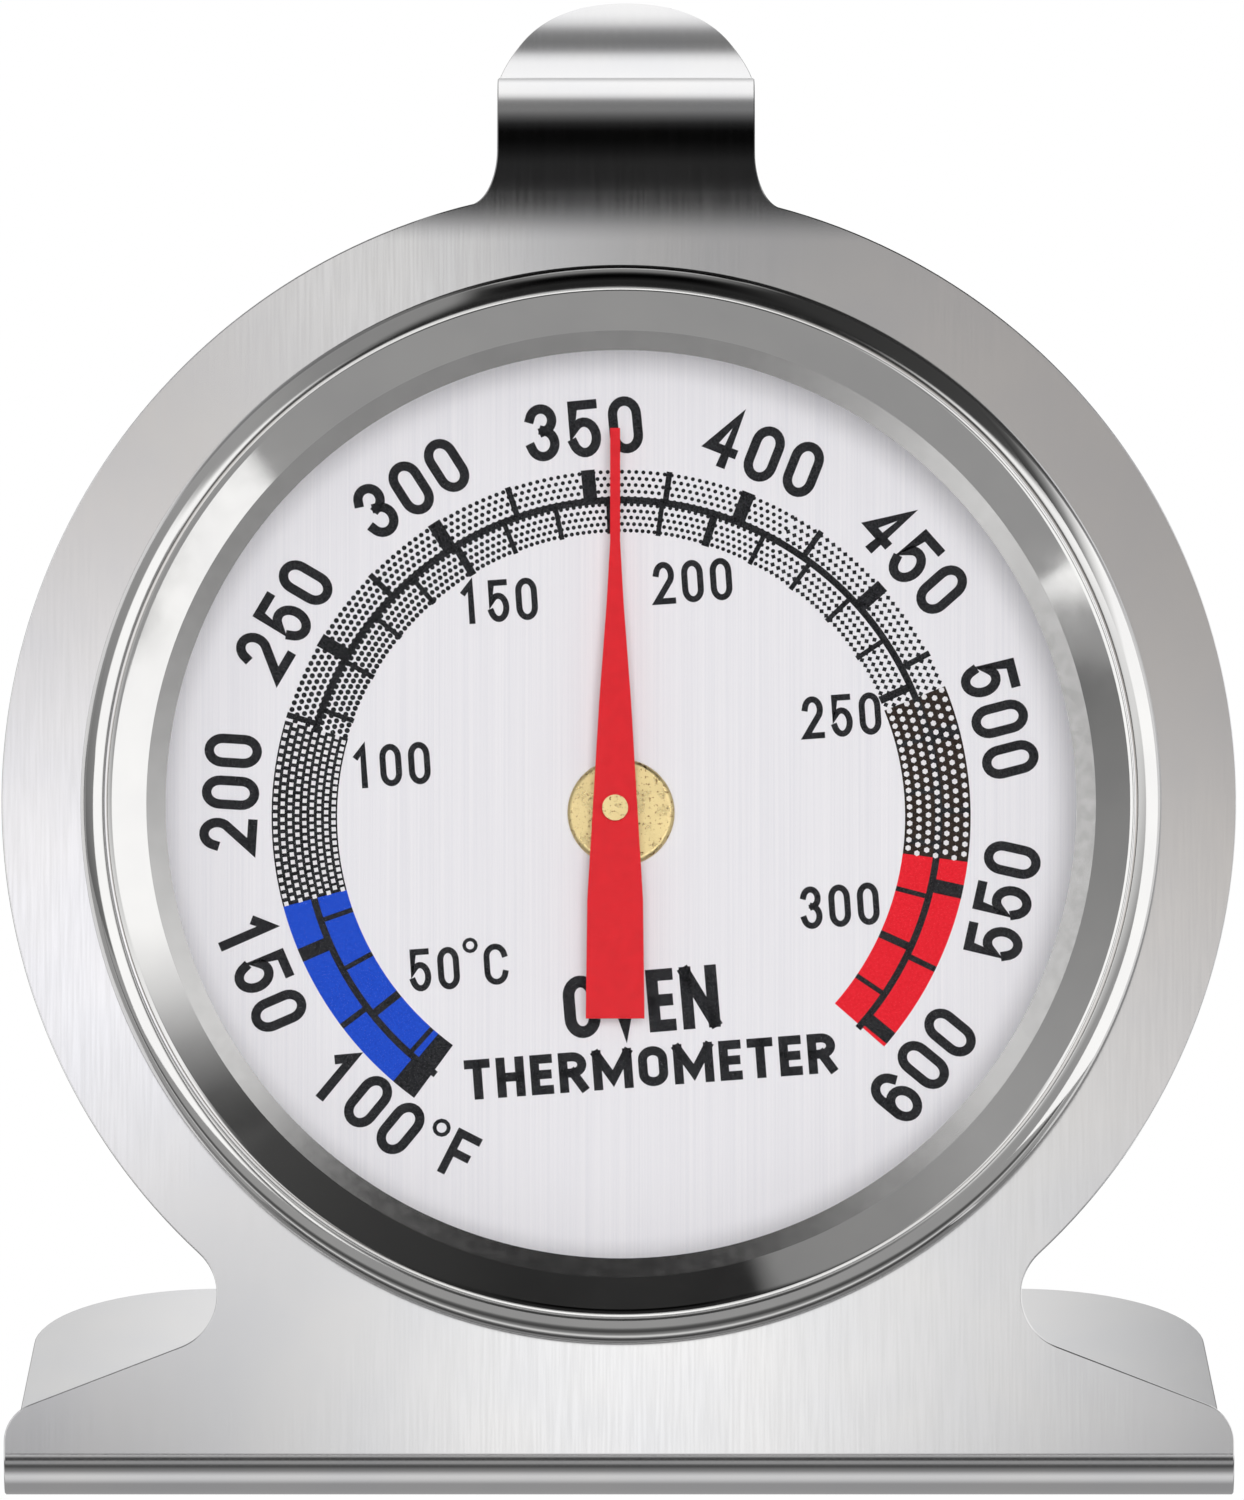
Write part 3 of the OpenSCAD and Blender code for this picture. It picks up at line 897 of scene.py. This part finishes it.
def blend(tree, factor, a, b):
    """A mix of two colours, each a socket or a grey."""
    node = tree.nodes.new("ShaderNodeMix")
    node.data_type = "RGBA"
    tree.links.new(factor, node.inputs["Factor"])
    for socket, value in ((node.inputs["A"], a), (node.inputs["B"], b)):
        if isinstance(value, (int, float)):
            socket.default_value = (value, value, value, 1)
        else:
            tree.links.new(value, socket)
    return node.outputs["Result"]


def warm(grey):
    return (grey, 0.96 * grey, 0.925 * grey)


def cool(grey):
    return (0.975 * grey, 0.97 * grey, grey)


# The stops of brightness from here on were chosen against brightness sampled from the
# photograph's steel, so that what the steel mirrors looks the same.

# Brightness of the front softbox by its clock angle, as a share of a turn from the top
SOFTBOX = {
    0: 0.48, 0.05: 0.46, 0.09: warm(0.64), 0.17: warm(0.56), 0.21: warm(0.6), 0.25: warm(0.73),
    0.29: warm(0.98), 0.37: 1.1, 0.42: 1.18, 0.46: 1.48, 0.5: 1.63, 0.54: 1.43, 0.585: 0.93,
    0.62: 0.88, 0.665: cool(1.64), 0.705: cool(1.68), 0.75: cool(1.45), 0.83: warm(0.89),
    0.87: warm(0.81), 0.92: 1.24, 0.945: 1.2, 0.97: 0.81, 1: 0.48
}
# Its fall in brightness outwards, as shares of FADE_R
FADE_R = 0.09
SOFTBOX_FAR = 0.35
SOFTBOX_FADE = {
    0.5: 1, 0.55: 0.95, 0.6: 0.86, 0.64: 0.74, 0.68: 0.6, 0.74: 0.44, 0.84: 0.24, 0.93: 0.1, 1: 0.03
}


def softbox():
    """A near panel that the face mirrors: its brightness turns around a point in front of the dial."""
    down = Vector((0, -sin(radians(REFLECTED_RISE)), -cos(radians(REFLECTED_RISE))))
    middle = FACE @ Vector((0, 0, 0)) + SOFTBOX_FAR * rising(REFLECTED_RISE)
    edge = [FADE_R * toward(10 * i) for i in range(36)]
    made = panel("softbox", middle, down, -ACROSS, edge)
    material, tree, glow = emitter("softbox")
    place = tree.nodes.new("ShaderNodeTexCoord").outputs["Object"]
    clock = tree.nodes.new("ShaderNodeTexGradient")
    clock.gradient_type = "RADIAL"
    away = tree.nodes.new("ShaderNodeVectorMath")
    away.operation = "LENGTH"
    tree.links.new(place, clock.inputs["Vector"])
    tree.links.new(place, away.inputs[0])
    share = arithmetic(tree, "DIVIDE", away.outputs["Value"], FADE_R)
    tree.links.new(ramp(tree, SOFTBOX, clock.outputs["Fac"]), glow.inputs["Color"])
    tree.links.new(ramp(tree, SOFTBOX_FADE, share), glow.inputs["Strength"])
    made.data.materials.append(material)


def graded_panel(name, middle, right, up, corners, stops, axis):
    """A panel whose brightness changes along one of its own axes."""
    made = panel(name, middle, right, up, corners)
    material, tree, glow = emitter(name)
    place = tree.nodes.new("ShaderNodeSeparateXYZ")
    tree.links.new(tree.nodes.new("ShaderNodeTexCoord").outputs["Object"], place.inputs["Vector"])
    low, high = min(c[axis] for c in corners), max(c[axis] for c in corners)
    along = arithmetic(tree, "SUBTRACT", place.outputs[axis], low)
    share = arithmetic(tree, "DIVIDE", along, high - low)
    tree.links.new(ramp(tree, stops, share), glow.inputs["Color"])
    made.data.materials.append(material)


def rectangle(start, end, low, high):
    return ((start, low), (end, low), (end, high), (start, high))


# A panel's own axes: along it and up it
ALONG = 0
UPWARD = 1
# Brightness of the side panels, as shares of their length or height
RIGHT_PANEL = {0: 1.4, 0.62: 1.4, 0.72: 0.9, 0.8: 0.39, 0.9: 0.12, 1: 0.06}
LEFT_PANEL = {0: 0.17, 0.5: 0.27, 1: 0.33}
FRONT_LEFT_PANEL = {0: 0.2, 0.1: 0.2, 0.24: 1.4, 1: 1.4}
BACK_PANEL = {0: 0.7, 0.28: 0.85, 0.34: 1.05, 0.6: 1.05, 0.65: 0.98, 0.7: 0.76, 0.74: 0.55, 1: 0.45}


def side_panels():
    """Reflectors close around the thermometer, their places and corners in metres."""
    back, up = (0, 1, 0), (0, 0, 1)
    cut_off = ((0.02, 0.003), (-0.055, 0.003), (-0.035, 0.03), (-0.03, 0.095), (0.02, 0.095))
    graded_panel("right_panel", (0.055, 0, 0), back, up, cut_off, RIGHT_PANEL, UPWARD)
    corners = rectangle(0.02, -0.055, 0.018, 0.07)
    graded_panel("left_panel", (-0.12, 0, 0), back, up, corners, LEFT_PANEL, UPWARD)
    slanting = Vector((-0.6, 0.8, 0))
    corners = rectangle(0, 0.105, 0.001, 0.14)
    graded_panel("front_left_panel", (-0.06, -0.15, 0), slanting, up, corners, FRONT_LEFT_PANEL, ALONG)
    corners = rectangle(-0.08, 0.08, 0.029, 0.085)
    graded_panel("back_panel", (0, 0.2, 0), (1, 0, 0), up, corners, BACK_PANEL, ALONG)


# Brightness of the studio in degrees from the front horizon over the top to the back
OVERHEAD = {
    0: 0.06, 8: 0.06, 13: 0.6, 16: 0.9, 24: 0.9, 28: 0.12, 36: 0.03, 45: 0.02, 60: 0.025,
    70: 0.01, 80: 0.002, 91: 0.002, 99: 0.025, 106: 0.12, 114: 0.28, 120: 0.26, 125: 0.3,
    128: 0.5, 132: 1.05, 138: 1.35, 157: 1.35, 166: 0.75, 174: 0.45, 184: 0.7, 216: 0.8,
    324: 0.1, 360: 0.06
}
# Brightness around the plate's plane, clockwise from the plate's top, as a share of a turn
AROUND = {
    0: 0.025, 0.09: 0.06, 0.12: 0.08, 0.15: 0.38, 0.18: 1.3, 0.35: 1.4, 0.36: 0.42, 0.5: 0.4,
    0.62: 0.44, 0.68: 0.38, 0.72: 0.24, 0.78: 0.32, 0.85: 0.43, 0.88: 0.46, 0.91: 0.36, 0.955: 0.33,
    0.96: 0.03, 1: 0.025
}
# Brightness of the room in front: from the left to the middle, and on the right from low to high
FRONT_LEFT = {0: 1.4, 0.76: 1.4, 0.84: 0.3, 1: 0.2}
FRONT_RIGHT = {0: 0.43, 0.15: 0.43, 0.35: 0.78, 0.6: 1.35, 1: 1.35}
# Brightness of the room to light scattered by the dull parts
SCATTERED = 0.3


def studio():
    """The room: white to the camera, even to scattered light, bright and dark in the steel."""
    world = bpy.data.worlds.new("studio")
    bpy.context.scene.world = world
    world.use_nodes = True
    tree = world.node_tree
    way = tree.nodes.new("ShaderNodeTexCoord").outputs["Generated"]

    def along(direction):
        node = tree.nodes.new("ShaderNodeVectorMath")
        node.operation = "DOT_PRODUCT"
        node.inputs[1].default_value = direction
        tree.links.new(way, node.inputs[0])
        return node.outputs["Value"]

    def turned(a, b):
        angle = arithmetic(tree, "ARCTAN2", a, b)
        return arithmetic(tree, "FRACT", arithmetic(tree, "DIVIDE", angle, 2 * pi))

    x, out = along(ACROSS), along(OUT)
    rise = turned(along((0, 0, 1)), along((0, -1, 0)))
    over = ramp(tree, {angle / 360: grey for angle, grey in OVERHEAD.items()}, rise)
    around = ramp(tree, AROUND, turned(x, along(UP_PLATE)))
    front_left = ramp(tree, FRONT_LEFT, arithmetic(tree, "ADD", x, 1))
    front_right = ramp(tree, FRONT_RIGHT, along((0, 0, 1)))
    front = blend(tree, arithmetic(tree, "GREATER_THAN", x, 0), front_left, front_right)
    aside = arithmetic(tree, "ABSOLUTE", x)
    not_high = spread(tree, along((0, 0, 1)), 0.73, 0.63)
    room = blend(tree, spread(tree, aside, 0.1, 0.3), over, around)
    ahead = arithmetic(tree, "MULTIPLY", spread(tree, out, 0.4, 0.5), spread(tree, aside, 0.15, 0.25))
    room = blend(tree, arithmetic(tree, "MULTIPLY", ahead, not_high), room, front)
    rays = tree.nodes.new("ShaderNodeLightPath")
    lit = blend(tree, rays.outputs["Is Diffuse Ray"], room, SCATTERED)
    seen = blend(tree, rays.outputs["Is Camera Ray"], lit, 1)
    tree.links.new(seen, tree.nodes["Background"].inputs["Color"])


# Half of the table top's side and how far it lies under the foot, in metres
FLOOR_HALF = 1.5
FLOOR_GAP = 0.0001
# Brightness of the table top ahead of the foot's bend in the steel, as shares of FLOOR_FADE; its dim
# start right at the foot is a painted contact shadow
FLOOR_FADE = 0.015
FLOOR = {0: 0.42, 0.02: 0.62, 0.05: 0.86, 0.09: 0.92, 0.2: 0.33, 0.42: 0.085, 0.65: 0.12, 1: 0.42}


def floor():
    """A table top under the foot that glows: white to the camera, dimmer in the steel, where a painted
    contact shadow dims it right at the foot.
    """
    bm = bmesh.new()
    corners = rectangle(-FLOOR_HALF, FLOOR_HALF, -FLOOR_HALF, FLOOR_HALF)
    bm.faces.new([bm.verts.new((x, y, -FLOOR_GAP)) for x, y in corners])
    table = bpy.data.objects.new("floor", mesh_from(bm, "floor"))
    bpy.context.scene.collection.objects.link(table)
    material, tree, glow = emitter("floor")
    place = tree.nodes.new("ShaderNodeSeparateXYZ")
    tree.links.new(tree.nodes.new("ShaderNodeTexCoord").outputs["Object"], place.inputs["Vector"])
    ahead = arithmetic(tree, "SUBTRACT", cad_box[0][1], place.outputs["Y"])
    mirrored = ramp(tree, FLOOR, arithmetic(tree, "DIVIDE", ahead, FLOOR_FADE))
    rays = tree.nodes.new("ShaderNodeLightPath")
    tree.links.new(blend(tree, rays.outputs["Is Camera Ray"], mirrored, 1), glow.inputs["Color"])
    table.data.materials.append(material)


# The lamp: how far out of the dial and to its right it is and how wide, in metres, and its watts
LAMP_OUT = 0.5
LAMP_RIGHT = 0.03
LAMP_SIZE = 0.4
LAMP_POWER = 1.88


def fill_light():
    """A soft lamp for the dial that leaves no reflection in the steel."""
    lamp = bpy.data.objects.new("fill", bpy.data.lights.new("fill", "AREA"))
    bpy.context.scene.collection.objects.link(lamp)
    lamp.data.shape = "DISK"
    lamp.data.size = LAMP_SIZE
    lamp.data.energy = LAMP_POWER
    middle = FACE @ Vector((0, 0, 0))
    look_from(lamp, middle + LAMP_OUT * OUT + LAMP_RIGHT * ACROSS, middle)
    lamp.visible_glossy = False
    lamp.visible_camera = False


finish_frame()
stand()
bezel()
set_glass()
print_dial()
camera()
studio()
softbox()
side_panels()
floor()
fill_light()
bpy.context.scene.view_settings.view_transform = "Standard"
